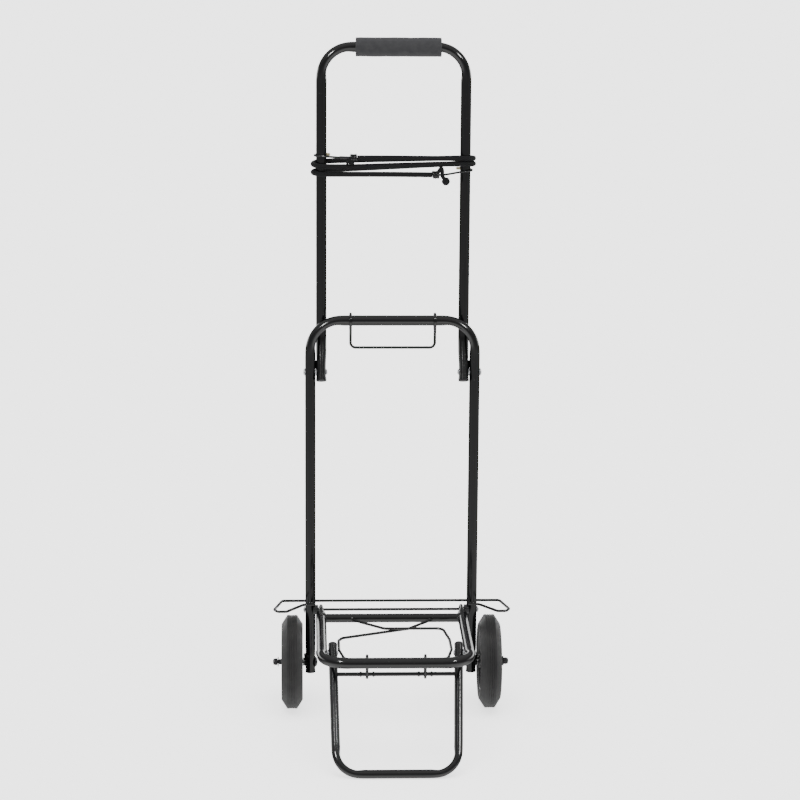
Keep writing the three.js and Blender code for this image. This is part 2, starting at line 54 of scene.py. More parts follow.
LEFT, RIGHT = -1, 1
SIDES = {LEFT: "left", RIGHT: "right"}

# ---- sizes that the pieces share with the frame ----
TUBE_R = 8 * MM
WALL = 1 * MM
STAND_R = 6.5 * MM
CROSS_R = 7 * MM
WIRE_R = 2 * MM
LINK_WIRE_R = 1.9 * MM
ROD_R = 3 * MM
CORD_R = 4 * MM
HOOK_R = 1.5 * MM
ENAMEL = 0.15 * MM  # added to tubes and wires, whose edges look thin on a pale background

FRAME_BEND = 48 * MM
HANDLE_BEND = 46 * MM
HANDLE_KINK_Z = 600 * MM
HANDLE_TAIL = 12 * MM
PLATFORM_BEND = 40 * MM
STAND_TOP_X = 95.5 * MM
STAND_FOOT_X = 91 * MM
STAND_BEND = 36 * MM
STAND_TAIL = 12 * MM
LOOP_REACH = 249 * MM
LOOP_DROP = 3.4 * MM
LINK_X = 44 * MM
LINK_BEND = 5.4 * MM

# ---- places, read from the frame ----
pivots = {j["name"]: Vector(j["pos_m"]) for j in frame["record"]["behaviour"]["joints"]}
HANDLE_PIVOT = pivots["handle_fold"]
HINGE = pivots["platform_fold"]
PIN = pivots["stand_fold"]
CROSS = pivots["support_wire_lift"]
ROD = pivots["link_swing"]
BAIL_PIVOT = pivots["bail_swing"]
AXLE = pivots["wheel_right_spin"]
FRAME_Y = HANDLE_PIVOT.y


def tube_axis(node, axis, side, radius, flats=12):
    """Where the axis of a CAD tube's outermost run is, along one axis of the frame."""
    low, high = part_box(node)
    half = radius * math.cos(math.pi / flats)
    return high[axis] - half if side > 0 else low[axis] + half


def box_corners(node):
    """A CAD node's lowest and highest corners."""
    return [Vector(corner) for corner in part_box(node)]


def x_span(node):
    low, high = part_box(node)
    return low[0], high[0]


def middle(node):
    low, high = box_corners(node)
    return (low + high) / 2


FRAME_X = tube_axis("main_frame_tube", 0, RIGHT, TUBE_R)
FRAME_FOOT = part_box("main_frame_tube")[0][2]
HANDLE_X = tube_axis("handle_tube", 0, RIGHT, TUBE_R)
HANDLE_TOP = tube_axis("handle_tube", 2, 1, TUBE_R)
HANDLE_Y = tube_axis("handle_tube", 1, 1, TUBE_R)
PLATFORM_X = tube_axis("platform_tube", 0, RIGHT, TUBE_R)
PLATFORM_FRONT = tube_axis("platform_tube", 1, -1, TUBE_R)
PLATFORM_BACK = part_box("platform_tube")[1][1]
GUARD_Z = middle("wheel_guard_wire").z
BAIL_X = tube_axis("top_bail", 0, RIGHT, WIRE_R, 8)
BAIL_BOTTOM = tube_axis("top_bail", 2, -1, WIRE_R, 8)
FOOT = Vector((0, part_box("stand_tube")[0][1] + STAND_R, STAND_R))
LEG_LENGTH = (FOOT - PIN).length
LEG_DIRECTION = (FOOT - PIN).normalized()
LOOP = Vector((0, HINGE.y - LOOP_REACH, HINGE.z - LOOP_DROP))


# ---- camera ----
CAMERA_AT = Vector((-0.137, FRAME_Y - 4.086, 1.391))
CAMERA_PITCH = math.radians(12.23)  # looking down
CAMERA_YAW = math.radians(2.09)  # turned to the right
CAMERA_ROLL = math.radians(0.38)
CAMERA_LENS = 119.6  # mm on a 36 mm sensor


def make_camera():
    data = bpy.data.cameras.new("camera")
    data.lens = CAMERA_LENS
    camera = bpy.data.objects.new("camera", data)
    aim = Matrix.Rotation(-CAMERA_YAW, 4, "Z") @ Matrix.Rotation(math.pi / 2 - CAMERA_PITCH, 4, "X")
    camera.matrix_world = Matrix.Translation(CAMERA_AT) @ aim @ Matrix.Rotation(CAMERA_ROLL, 4, "Z")
    bpy.context.collection.objects.link(camera)
    bpy.context.scene.camera = camera


make_camera()


# ---- materials ----
class Look:
    """A Principled material with its nodes in the object's own coordinates, in metres."""

    def __init__(self, name, color, roughness, metallic=0.0, **sockets):
        self.material = bpy.data.materials.new(name)
        self.material.use_nodes = True
        self.tree = self.material.node_tree
        self.bsdf = self.tree.nodes["Principled BSDF"]
        self.place = self.tree.nodes.new("ShaderNodeTexCoord").outputs["Object"]
        self.relief = None
        self.set(**{"Base Color": (*color, 1), "Roughness": roughness, "Metallic": metallic})
        self.set(**sockets)

    def set(self, **sockets):
        for name, value in sockets.items():
            self.bsdf.inputs[name.replace("_", " ")].default_value = value

    def node(self, kind, **inputs):
        made = self.tree.nodes.new(kind)
        for name, value in inputs.items():
            socket = made.inputs[name]
            if isinstance(value, bpy.types.NodeSocket):
                self.tree.links.new(value, socket)
            else:
                socket.default_value = value
        return made

    def math(self, operation, a, b=0.0):
        made = self.node("ShaderNodeMath")
        made.operation = operation
        for socket, value in zip(made.inputs, (a, b)):
            if isinstance(value, bpy.types.NodeSocket):
                self.tree.links.new(value, socket)
            else:
                socket.default_value = value
        return made.outputs[0]

    def noise(self, size, detail=3.0):
        """Noise whose features are about size metres across."""
        made = self.node("ShaderNodeTexNoise", Vector=self.place, Scale=1 / size, Detail=detail)
        return made.outputs["Fac"]

    def span(self, value, low, high, to_low, to_high):
        """Maps low..high of a value to to_low..to_high, clamped."""
        inputs = {"Value": value, "From Min": low, "From Max": high, "To Min": to_low, "To Max": to_high}
        return self.node("ShaderNodeMapRange", **inputs).outputs[0]

    def mix(self, factor, a, b):
        made = self.node("ShaderNodeMix")
        made.data_type = "RGBA"
        self.tree.links.new(factor, made.inputs[0])
        for socket, value in zip((made.inputs[6], made.inputs[7]), (a, b)):
            if isinstance(value, bpy.types.NodeSocket):
                self.tree.links.new(value, socket)
            else:
                socket.default_value = (*value, 1)
        return made.outputs[2]

    def drive(self, socket, value):
        self.tree.links.new(value, self.bsdf.inputs[socket])

    def bump(self, height, distance, strength=1.0):
        """Adds relief on top of the relief that is already there."""
        inputs = {"Height": height, "Distance": distance, "Strength": strength}
        if self.relief:
            inputs["Normal"] = self.relief
        self.relief = self.node("ShaderNodeBump", **inputs).outputs[0]
        self.drive("Normal", self.relief)


def gloss_paint(name, color, worn, peel):
    """Baked enamel: orange peel, a faint haze, and small chips that show as lighter specks."""
    look = Look(name, color, 0.12)
    haze = look.noise(60 * MM)
    look.drive("Roughness", look.span(haze, 0.3, 0.7, 0.08, 0.16))
    specks = look.noise(3 * MM, 6.0)
    dust = look.span(specks, 0.66, 0.76, 0.0, 0.6)
    look.drive("Base Color", look.mix(dust, color, worn))
    look.bump(look.noise(peel), 0.02 * MM, 0.3)
    look.bump(look.noise(14 * MM, 1.0), 0.1 * MM, 0.25)
    return look.material


def zinc_plate():
    look = Look("zinc_plate", (0.52, 0.53, 0.55), 0.3, 1.0)
    cloud = look.noise(2.2 * MM, 5.0)
    look.drive("Base Color", look.mix(look.span(cloud, 0.35, 0.7, 0, 1), (0.6, 0.61, 0.63), (0.3, 0.3, 0.31)))
    look.drive("Roughness", look.span(look.noise(0.8 * MM), 0.3, 0.7, 0.22, 0.45))
    look.bump(cloud, 0.04 * MM)
    return look.material


def black_oxide():
    """Blackened steel, rubbed a little brighter in patches."""
    look = Look("black_oxide", (0.02, 0.02, 0.022), 0.35, 0.6)
    rubbed = look.span(look.noise(1.8 * MM, 5.0), 0.45, 0.7, 0, 1)
    look.drive("Base Color", look.mix(rubbed, (0.014, 0.014, 0.016), (0.07, 0.07, 0.072)))
    look.drive("Roughness", look.span(look.noise(0.9 * MM), 0.3, 0.7, 0.28, 0.46))
    look.bump(look.noise(1.2 * MM), 0.05 * MM)
    return look.material


def tyre_rubber():
    """Matt rubber with a dusty bloom on the tread and fine moulding grain."""
    look = Look("tyre_rubber", (0.019, 0.019, 0.0195), 0.6, Specular_IOR_Level=0.24, Sheen_Weight=0.12)
    bloom = look.span(look.noise(24 * MM, 6.0), 0.38, 0.68, 0, 1)
    look.drive("Base Color", look.mix(bloom, (0.014, 0.014, 0.0145), (0.025, 0.025, 0.0245)))
    look.drive("Roughness", look.span(look.noise(6 * MM), 0.3, 0.7, 0.48, 0.68))
    look.bump(look.noise(0.9 * MM, 4.0), 0.08 * MM, 0.5)
    return look.material


def moulded_plastic(name, color, roughness):
    look = Look(name, color, roughness)
    look.drive("Roughness", look.span(look.noise(8 * MM), 0.3, 0.7, roughness * 0.8, roughness * 1.4))
    look.bump(look.noise(0.7 * MM, 2.0), 0.03 * MM, 0.5)
    return look.material


def foam_rubber():
    """Closed-cell foam: small dents where cells were cut, darkened with painted shade, on a soft uneven skin.
    """
    look = Look("foam_rubber", (0.045, 0.045, 0.047), 0.85, Specular_IOR_Level=0.24, Sheen_Weight=0.2)
    cells = look.node("ShaderNodeTexVoronoi", Vector=look.place, Scale=1 / (0.9 * MM)).outputs["Distance"]
    tone = look.span(look.noise(9 * MM, 5.0), 0.35, 0.7, 0, 1)
    base = look.mix(tone, (0.037, 0.037, 0.04), (0.047, 0.047, 0.0495))
    # painted shade: the colour darkens towards the middle of each cell, where the bump makes its dent
    painted_pit_shade = look.span(cells, 0.0, 0.35, 0.55, 0.0)
    look.drive("Base Color", look.mix(painted_pit_shade, base, (0.03, 0.03, 0.032)))
    look.bump(cells, 0.25 * MM, 0.7)
    look.bump(look.noise(5 * MM), 0.3 * MM, 0.4)
    return look.material


def braided_sleeve():
    """Woven sheath: two sets of ribs wound opposite ways round the cord, in its own UV map, with painted
    shade in the grooves between them.
    """
    look = Look("braided_sleeve", (0.007, 0.007, 0.0075), 0.7, Specular_IOR_Level=0.14, Sheen_Weight=0.05)
    uv = look.node("ShaderNodeUVMap").outputs["UV"]
    split = look.node("ShaderNodeSeparateXYZ", Vector=uv)
    around, along = split.outputs["X"], split.outputs["Y"]
    ribs = []
    for way in (-1, 1):
        turn = look.math("ADD", look.math("MULTIPLY", around, 8.0), look.math("MULTIPLY", along, 5.0 * way))
        ribs.append(look.math("SINE", look.math("MULTIPLY", turn, 2 * math.pi)))
    weave = look.math("MAXIMUM", *ribs)
    # painted shade: the colour follows the weave's height, darker in its grooves than on its raised crests
    painted_weave_shade = look.span(weave, -0.2, 1, 0, 1)
    look.drive("Base Color", look.mix(painted_weave_shade, (0.003, 0.003, 0.0033), (0.01, 0.01, 0.011)))
    look.bump(weave, 0.35 * MM, 0.8)
    look.bump(look.noise(0.4 * MM), 0.05 * MM)
    return look.material


PAINT = gloss_paint("tube_enamel", (0.0045, 0.0045, 0.005), (0.05, 0.05, 0.05), 1.6 * MM)
WIRE_PAINT = gloss_paint("wire_enamel", (0.004, 0.004, 0.0045), (0.06, 0.06, 0.06), 1.1 * MM)
ZINC = zinc_plate()
BLACK_STEEL = black_oxide()
RUBBER = tyre_rubber()
PLASTIC = moulded_plastic("black_plastic", (0.01, 0.01, 0.011), 0.24)
CREAM = moulded_plastic("cream_plastic", (0.62, 0.56, 0.36), 0.35)
FOAM = foam_rubber()
BRAID = braided_sleeve()


# ---- paths ----
def rounded(corners, degrees=6):
    """Points along straight runs joined by arcs. A corner is (point, bend radius)."""
    points = [corners[0][0]]
    for (before, _), (at, bend), (after, _) in zip(corners, corners[1:], corners[2:]):
        into, out = (at - before).normalized(), (after - at).normalized()
        turn = into.angle(out)
        if bend == 0 or turn < 1e-6:
            points.append(at)
            continue
        axis = into.cross(out).normalized()
        start = at - into * bend * math.tan(turn / 2)
        centre = start + axis.cross(into) * bend
        steps = max(2, math.ceil(math.degrees(turn) / degrees))
        for k in range(steps + 1):
            points.append(centre + Matrix.Rotation(turn * k / steps, 3, axis) @ (start - centre))
    return [*points, corners[-1][0]]


def mirrored(corners):
    return [(Vector((-p.x, p.y, p.z)), bend) for p, bend in reversed(corners)]


def both_sides(left):
    """A left half's corners and their mirror image, as one path."""
    return rounded([*left, *mirrored(left)])


def densified(points, spacing):
    """The same path with more points on its long straight runs."""
    dense = [points[0]]
    for a, b in zip(points, points[1:]):
        steps = max(1, round((b - a).length / spacing))
        dense += [a.lerp(b, k / steps) for k in range(1, steps + 1)]
    return dense


def smooth_curve(points, steps=8):
    """A Catmull-Rom curve through the points."""
    ends = [2 * points[0] - points[1], *points, 2 * points[-1] - points[-2]]
    curve = [points[0]]
    for a, b, c, d in zip(ends, ends[1:], ends[2:], ends[3:]):
        for k in range(1, steps + 1):
            t = k / steps
            bend = (c - a) * t + (2 * a - 5 * b + 4 * c - d) * t**2 + (3 * b - a - 3 * c + d) * t**3
            curve.append(b + bend / 2)
    return curve


def lengths(points):
    """How far along the path each point is."""
    along = [0.0]
    for a, b in zip(points, points[1:]):
        along.append(along[-1] + (b - a).length)
    return along


def step(value, low, high):
    """0 below low, 1 above high, and smooth between."""
    t = min(1.0, max(0.0, (value - low) / (high - low)))
    return t * t * (3 - 2 * t)


# ---- mesh building ----
TUBE_SIDES = 28
BORE_DEPTH = 30 * MM  # how far a tube's open end can be seen into


def make_object(name, vertices, faces, look, body, replaced=(), uv=None, sharp=38):
    mesh = bpy.data.meshes.new(name)
    mesh.from_pydata(vertices, [], faces)
    if uv:
        layer = mesh.uv_layers.new(name="UVMap")
        for loop in mesh.loops:
            layer.data[loop.index].uv = uv[loop.vertex_index]
    mesh.materials.append(look)
    mesh.polygons.foreach_set("use_smooth", [True] * len(mesh.polygons))
    mesh.set_sharp_from_angle(angle=math.radians(sharp))
    made = bpy.data.objects.new(name, mesh)
    bpy.context.collection.objects.link(made)
    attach(made, body)
    if replaced:
        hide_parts(*replaced)
    return made


def frames_along(points, first_normal):
    """(tangent, normal, binormal) at each point, turned as little as possible along the way."""
    tangents = []
    for i, point in enumerate(points):
        ahead = points[min(i + 1, len(points) - 1)]
        behind = points[max(i - 1, 0)]
        back = (point - behind).normalized() if i else Vector()
        on = (ahead - point).normalized() if i < len(points) - 1 else Vector()
        tangents.append((back + on).normalized())
    normal = (first_normal - tangents[0] * first_normal.dot(tangents[0])).normalized()
    frames = []
    for before, tangent in zip([tangents[0], *tangents], tangents):
        normal = before.rotation_difference(tangent) @ normal
        normal = (normal - tangent * normal.dot(tangent)).normalized()
        frames.append((tangent, normal, tangent.cross(normal)))
    return frames


def sweep_rings(points, radius, sides, first_normal, squeeze=None):
    """Rings of points round a path. squeeze(i, angle) gives the width along normal and binormal."""
    rings = []
    for i, (point, (_, normal, binormal)) in enumerate(zip(points, frames_along(points, first_normal))):
        ring = []
        for k in range(sides):
            angle = 2 * math.pi * k / sides
            wide, high = squeeze(i, angle) if squeeze else (1, 1)
            across = normal * (math.cos(angle) * wide) + binormal * (math.sin(angle) * high)
            ring.append(point + across * radius)
        rings.append(ring)
    return rings


def skin(rings):
    """Vertices and faces of a closed body through the rings, with a flat face at each end."""
    sides = len(rings[0])
    vertices = [v for ring in rings for v in ring]
    faces = []
    for r in range(len(rings) - 1):
        for k in range(sides):
            here, there = r * sides + k, r * sides + (k + 1) % sides
            faces.append((here, there, there + sides, here + sides))
    faces.append(tuple(reversed(range(sides))))
    faces.append(tuple(range(len(vertices) - sides, len(vertices))))
    return vertices, faces


def drawn_in(ring, by):
    """A ring moved towards its own centre by a distance."""
    centre = sum(ring, Vector()) / len(ring)
    return [p + (centre - p).normalized() * by for p in ring]


def moved(ring, offset):
    return [p + offset for p in ring]


def hollow_ends(rings, wall, depth):
    """Adds a rolled lip and a bore to both ends of a tube."""
    def bore(ring, inwards):
        lip = [moved(drawn_in(ring, wall * f), inwards * wall * d) for f, d in ((0.5, -0.15), (1.0, 0.2))]
        return [*lip, moved(drawn_in(ring, wall), inwards * depth)]

    start = (rings[1][0] - rings[0][0]).normalized()
    end = (rings[-2][0] - rings[-1][0]).normalized()
    return [*reversed(bore(rings[0], start)), *rings, *bore(rings[-1], end)]


def tube(name, points, radius, body, node, pressed=None):
    """A bent tube. Bends flatten on their inner side and bulge a little where they start and end."""
    points = densified(points, 5 * MM)
    inwards = Vector((1, 0, 0))
    curvature = bend_amounts(points, lengths(points), inwards)

    def squeeze(i, angle):
        bend, edge = curvature[i]
        inner = max(0.0, math.cos(angle))
        wide = 1 - bend * (0.06 + 0.12 * inner) + edge * 0.09 * inner**3
        high = 1 + 0.05 * bend
        if pressed:
            flat, spread = pressed(points[i])
            wide, high = wide * flat, high * spread
        return wide, high

    rings = sweep_rings(points, radius + ENAMEL, TUBE_SIDES, inwards, squeeze)
    vertices, faces = skin(hollow_ends(rings, WALL + ENAMEL, BORE_DEPTH))
    return make_object(name, vertices, faces, PAINT, body, [node])


def bend_amounts(points, along, first_normal):
    """(how bent, how near a bend's end) at each point: 1 in a bend, and 1 at its ends."""
    reach = 4 * MM
    frames = frames_along(points, first_normal)
    turning = [0.0]
    for i in range(1, len(points) - 1):
        turn = frames[i + 1][0] - frames[i - 1][0]
        span = along[i + 1] - along[i - 1]
        turning.append(min(1.0, abs(turn.dot(frames[i][1])) / span * HANDLE_BEND))
    turning.append(0.0)

    def near(i, offset):
        weights = [math.exp(-(((s - along[i] - offset) / reach) ** 2)) for s in along]
        return sum(w * t for w, t in zip(weights, turning)) / sum(weights)

    return [(near(i, 0), abs(near(i, reach) - near(i, -reach))) for i in range(len(points))]


def wire(name, points, body, nodes, radius=WIRE_R, sides=16, look=WIRE_PAINT, normal=None):
    """A round wire with eased cut ends."""
    rings = sweep_rings(points, radius + ENAMEL, sides, normal or Vector((0.1, 0.2, 1)))
    start = (points[0] - points[1]).normalized() * radius * 0.25
    end = (points[-1] - points[-2]).normalized() * radius * 0.25
    rings[0] = moved(rings[0], -start)
    rings[-1] = moved(rings[-1], -end)
    caps = (moved(drawn_in(rings[0], radius * 0.3), start), moved(drawn_in(rings[-1], radius * 0.3), end))
    vertices, faces = skin([caps[0], *rings, caps[1]])
    return make_object(name, vertices, faces, look, body, nodes)


def lathe(name, profile, centre, look, body, nodes, segments=40, mirror=RIGHT, bevel=0.25 * MM):
    """Turns a profile of (radius, x) about the X axis. It ends on the axis or closes on itself."""
    closed = profile[0] == profile[-1]
    outline = profile[:-1] if closed else profile
    vertices, rows = [], []
    for radius, x in outline:
        count = segments if radius > 0 else 1
        rows.append(range(len(vertices), len(vertices) + count))
        for k in range(count):
            angle = 2 * math.pi * (k + 0.5) / segments
            off = Vector((x * mirror, radius * math.cos(angle), radius * math.sin(angle)))
            vertices.append(centre + off)
    faces = []
    for a, b in zip(rows, [*rows[1:], rows[0]] if closed else rows[1:]):
        for k in range(segments):
            after = (k + 1) % segments
            quad = (a[k % len(a)], a[after % len(a)], b[after % len(b)], b[k % len(b)])
            face = tuple(dict.fromkeys(quad))
            faces.append(face if mirror < 0 else tuple(reversed(face)))
    made = make_object(name, vertices, faces, look, body, nodes)
    if bevel:
        soften(made, bevel)
    return made


def soften(piece, width):
    """Rounds a piece's sharp edges by a small width."""
    bevel = piece.modifiers.new("softened_edges", "BEVEL")
    bevel.width = width
    bevel.segments = 2
    bevel.limit_method = "ANGLE"
    bevel.angle_limit = math.radians(32)
    bevel.harden_normals = False


def at_x(start, *steps):
    """A profile from (radius, x) in millimetres, counted from x = start."""
    return [(radius * MM, start + x * MM) for radius, x in steps]


def flat_ring(start, hole, rim, thick):
    """The profile of a washer or sleeve, from its radii and thickness in millimetres."""
    return at_x(start, (hole, 0), (rim, 0), (rim, thick), (hole, thick), (hole, 0))


def pair(name, profile, centre, look, body="frame", segments=40, bevel=0.25 * MM):
    """A turned piece and its mirror image, replacing the nodes NAME_left and NAME_right."""
    for side, word in SIDES.items():
        at = Vector((0, centre.y, centre.z))
        rides = f"{body}_{word}" if body == "wheel" else body
        node = f"{name}_{word}"
        lathe(f"{node}_turned", profile, at, look, rides, [node], segments, side, bevel)


def bead(name, points, radius, body, seed):
    """A lumpy weld bead along the points."""
    points = densified(points, 0.6 * MM)
    phases = [s / (0.45 * MM) for s in lengths(points)]

    def squeeze(i, _):
        lump = noise.noise(points[i] * 700 + Vector((seed, 0, 0)))
        ripple = 1 + 0.16 * math.sin(phases[i]) + 0.12 * lump
        return ripple, ripple

    rings = sweep_rings(points, radius, 12, Vector((0.3, 0.5, 1)), squeeze)
    vertices, faces = skin([drawn_in(rings[0], radius * 0.6), *rings, drawn_in(rings[-1], radius * 0.6)])
    return make_object(name, vertices, faces, PAINT, body, (), sharp=80)


# ---- elastic cord and its hooks ----
WRAP_R = TUBE_R + CORD_R + 0.7 * MM  # of the cord's turns round a leg
FRONT_Y = HANDLE_Y - WRAP_R
BACK_Y = HANDLE_Y + WRAP_R


def half_turn(side, from_z, to_z, front_first):
    """Points half way round the outside of a handle leg, between its front and its back."""
    steps = 6
    points = []
    for k in range(steps + 1):
        angle = (k if front_first else steps - k) * math.pi / steps
        x = side * (HANDLE_X + WRAP_R * math.sin(angle))
        y = HANDLE_Y - WRAP_R * math.cos(angle)
        points.append(Vector((x, y, (from_z + (to_z - from_z) * k / steps) * MM)))
    return points


def strand(y, *places):
    """Points of a run in front of the handle or behind it, from (x, z) in millimetres."""
    return [Vector((x * MM, y, z * MM)) for x, z in places]


cord_route = [
    *strand(FRONT_Y, (-56, 886.5), (0, 886.5), (60, 886)),
    *half_turn(RIGHT, 886, 884, True),
    *strand(BACK_Y, (55, 882.5), (-50, 880)),
    *half_turn(LEFT, 878, 873, False),
    *strand(FRONT_Y, (-60, 873), (0, 875), (70, 877)),
    *half_turn(RIGHT, 877.5, 875.5, True),
    *strand(BACK_Y, (55, 872.5), (-50, 867)),
    *half_turn(LEFT, 864.5, 861, False),
    *strand(FRONT_Y, (-60, 861), (0, 861), (60, 860.5)),
]


def make_cord():
    path = smooth_curve(cord_route, 6)
    along = lengths(path)
    sides = 20
    rings = sweep_rings(path, CORD_R, sides, Vector((0, 0, 1)))
    vertices, faces = skin(rings)
    uv = [(k / sides, along[i] / (2 * math.pi * CORD_R)) for i in range(len(path)) for k in range(sides)]
    piece = make_object("elastic_cord", vertices, faces, BRAID, "handle", ["bungee_cord"],
                        uv, 80)
    return piece, path


# (coil's outer end and z, z at the leg, rise behind it), in millimetres
HOOKS = {LEFT: (66, 886.5, 888.5, 1), RIGHT: (70, 860.5, 865.5, 2.4)}
COILS = {LEFT: (-66.5, -56.4, 886.5), RIGHT: (60.4, 70.5, 860.5)}  # both ends along X, and z
COIL_WIRE_R = 1.1 * MM
HOOK_WRAP = TUBE_R + HOOK_R + 0.9 * MM  # radius of the hook's turn round a leg
TIP_LENGTH = 10 * MM
TIP_R = 2.2 * MM
SHANK_R = 2.3 * MM  # the plastic-coated stretch next to the coil
TAIL_R = 3 * MM  # the cord, stretched thin where it is knotted


def hook_points(side, tail_x, tail_z, leg_z, rise):
    """The hook's wire: out of its coil, across the front of the leg and round it."""
    tail = strand(FRONT_Y, (side * tail_x, tail_z), (side * (tail_x + 8), tail_z))
    turn = []
    steps = 54
    for k in range(steps + 1):
        angle = math.radians(4 * k - 10)
        x = side * (HANDLE_X + HOOK_WRAP * math.sin(angle))
        y = HANDLE_Y - HOOK_WRAP * math.cos(angle)
        turn.append(Vector((x, y, (leg_z + rise * k / steps) * MM)))
    return [*tail, *turn]


def coil_points(from_x, to_x, z, turns, radius):
    """A helix round the end of the cord, a little loose and uneven."""
    steps = round(turns * 24)
    points = []
    for k in range(steps + 1):
        angle = 2 * math.pi * turns * k / steps
        reach = radius * (1 + 0.05 * math.sin(angle * 0.7))
        x = (from_x + (to_x - from_x) * k / steps) * MM
        points.append(Vector((x, FRONT_Y + reach * math.cos(angle), z * MM + reach * math.sin(angle))))
    return points


def knot(name, centre, radius, seed):
    """The cord's end, tied in a small tight knot."""
    rows, columns = 18, 28
    rings = []
    for r in range(rows):
        lift = -math.pi / 2 + math.pi * (r + 0.5) / rows
        ring = []
        for k in range(columns):
            turn = 2 * math.pi * k / columns
            way = Vector((math.cos(lift) * math.cos(turn), math.cos(lift) * math.sin(turn), math.sin(lift)))
            fold = 0.1 * abs(math.sin(2 * turn + 3 * lift + seed)) - 0.05
            ring.append(centre + way * radius * (1 + fold))
        rings.append(ring)
    vertices, faces = skin(rings)
    uv = [(k / columns * 2, r / rows * 2) for r in range(rows) for k in range(columns)]
    return make_object(name, vertices, faces, BRAID, "handle", (), uv, 80)


def make_hooks():
    """Wire hooks, their coiled tails, their tips, and the knots that end the cord."""
    pieces = []
    for side, word in SIDES.items():
        hook = hook_points(side, *HOOKS[side])
        hook = [*smooth_curve(hook[:4], 4), *hook[4:]]
        pieces.append(wire(f"hook_wire_{word}", hook, "handle", [f"bungee_hook_{word}"], HOOK_R))
        low, high, z = COILS[side]
        coil = coil_points(low, high, z, 4, CORD_R + COIL_WIRE_R)
        pieces.append(wire(f"hook_coil_{word}", coil, "handle", (), COIL_WIRE_R, 12))
        inner, outer = (low, high) if side > 0 else (high, low)
        held = strand(FRONT_Y, (inner, z), (outer, z))
        pieces.append(cord_stub(f"cord_in_coil_{word}", held, CORD_R))
        pieces.append(tip(f"hook_tip_dipped_{word}", hook[-1], (hook[-1] - hook[-2]).normalized(), word))
    shank = strand(FRONT_Y, (-66, 886.5), (-74, 886.6), (-84, 887))
    pieces.append(wire("hook_shank_left", smooth_curve(shank, 5), "handle", (), SHANK_R, look=PLASTIC))
    near = FRONT_Y - 2 * MM
    bight = strand(near, (-60, 883.5), (-66, 884), (-71, 881), (-70, 877.5))
    pieces.append(cord_stub("cord_tail_left", bight, TAIL_R))
    pieces.append(knot("cord_knot_left", Vector((-65 * MM, near, 880 * MM)), 4.6 * MM, 1))
    loop = strand(near, (66, 861), (70, 866), (73.5, 871), (75.5, 866), (75.5, 859), (79, 854))
    pieces.append(cord_stub("cord_tail_right", loop, TAIL_R))
    pieces.append(knot("cord_knot_right", Vector((81 * MM, near, 850.5 * MM)), 6.2 * MM, 2))
    return pieces


def cord_stub(name, points, radius):
    """A short stretch of the braided cord, closed at both ends."""
    path = smooth_curve(points, 6)
    along = lengths(path)
    sides = 16
    rings = sweep_rings(path, radius, sides, Vector((0, 1, 0.1)))
    rings = [drawn_in(rings[0], radius * 0.4), *rings, drawn_in(rings[-1], radius * 0.4)]
    along = [along[0], *along, along[-1]]
    vertices, faces = skin(rings)
    uv = [(k / sides, s / (2 * math.pi * CORD_R)) for s in along for k in range(sides)]
    return make_object(name, vertices, faces, BRAID, "handle", (), uv, 80)


def tip(name, start, heading, word):
    """A dipped plastic end on a hook."""
    length = TIP_LENGTH / MM
    profile = ((0, 0.75), (0.8, 1), (length - 1.2, 1), (length - 0.4, 0.8), (length, 0.4))
    points = [start + heading * (x * MM) for x, _ in profile]
    widths = [share for _, share in profile]
    rings = sweep_rings(points, TIP_R, 16, Vector((0, 0, 1)), lambda i, _: (widths[i], widths[i]))
    vertices, faces = skin(rings)
    return make_object(name, vertices, faces, CREAM, "handle", [f"hook_tip_{word}"])


cord_piece, cord_path = make_cord()
cord_pieces = make_hooks()


# ---- main frame ----
def make_main_frame():
    foot = Vector((-FRAME_X, FRAME_Y, FRAME_FOOT))
    left = [(foot, 0), (Vector((-FRAME_X, FRAME_Y, BAIL_PIVOT.z)), FRAME_BEND)]

    def pressed(point):
        """The legs narrow towards the axle and open out again at the foot."""
        narrow = 1 - step(point.z, 84 * MM, 106 * MM)
        flare = 1 - step(point.z, FRAME_FOOT + 1 * MM, FRAME_FOOT + 5 * MM)
        return 1 - 0.08 * narrow + 0.08 * flare, 1 + 0.05 * narrow

    tube("frame_tube", both_sides(left), TUBE_R, "frame", "main_frame_tube", pressed=pressed)


def make_guard_wire():
    """One wire behind both legs, bent round to a wing over each wheel."""
    front = middle("main_frame_tube").y - TUBE_R - WIRE_R - 0.4 * MM
    back = 2 * FRAME_Y - front
    wing = [
        (Vector((-122 * MM, front, GUARD_Z)), 0),
        (Vector((-139 * MM, front, GUARD_Z)), 14 * MM),
        (Vector((-167 * MM, FRAME_Y - 50 * MM, GUARD_Z)), 6 * MM),
        (Vector((-181 * MM, FRAME_Y - 50 * MM, GUARD_Z)), 6 * MM),
        (Vector((-186.5 * MM, FRAME_Y - 38 * MM, GUARD_Z)), 8 * MM),
        (Vector((-174 * MM, back, GUARD_Z)), 6 * MM),
    ]
    wire("guard_wire", rounded([*wing, *mirrored(wing)], 10), "frame", ["wheel_guard_wire"])
    for side, word in SIDES.items():
        x = side * FRAME_X
        for place, y, inner in (("front", front + WIRE_R, 1), ("back", back - WIRE_R, -1)):
            for rise in (-1.6 * MM, 1.6 * MM):
                line = [Vector((x + dx * MM, y + inner * 0.4 * MM, GUARD_Z + rise)) for dx in (-4.5, 0, 4.5)]
                bead(f"guard_weld_{place}_{word}_{'low' if rise < 0 else 'high'}", line, 1.1 * MM, "frame", x)


def make_hinge_rod():
    ends = [Vector((x, HINGE.y, HINGE.z)) for x in x_span("platform_hinge_rod")]
    wire("hinge_rod", densified(ends, 20 * MM), "frame", ["platform_hinge_rod"], WIRE_R, 20)
    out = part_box("rod_cap_right")[0][0]
    cap = [(0, out + 2.4 * MM), (3.2 * MM, out + 2.2 * MM), (5 * MM, out + 1.1 * MM), (5 * MM, out), (0, out)]
    pair("rod_cap", cap[::-1], HINGE, ZINC)


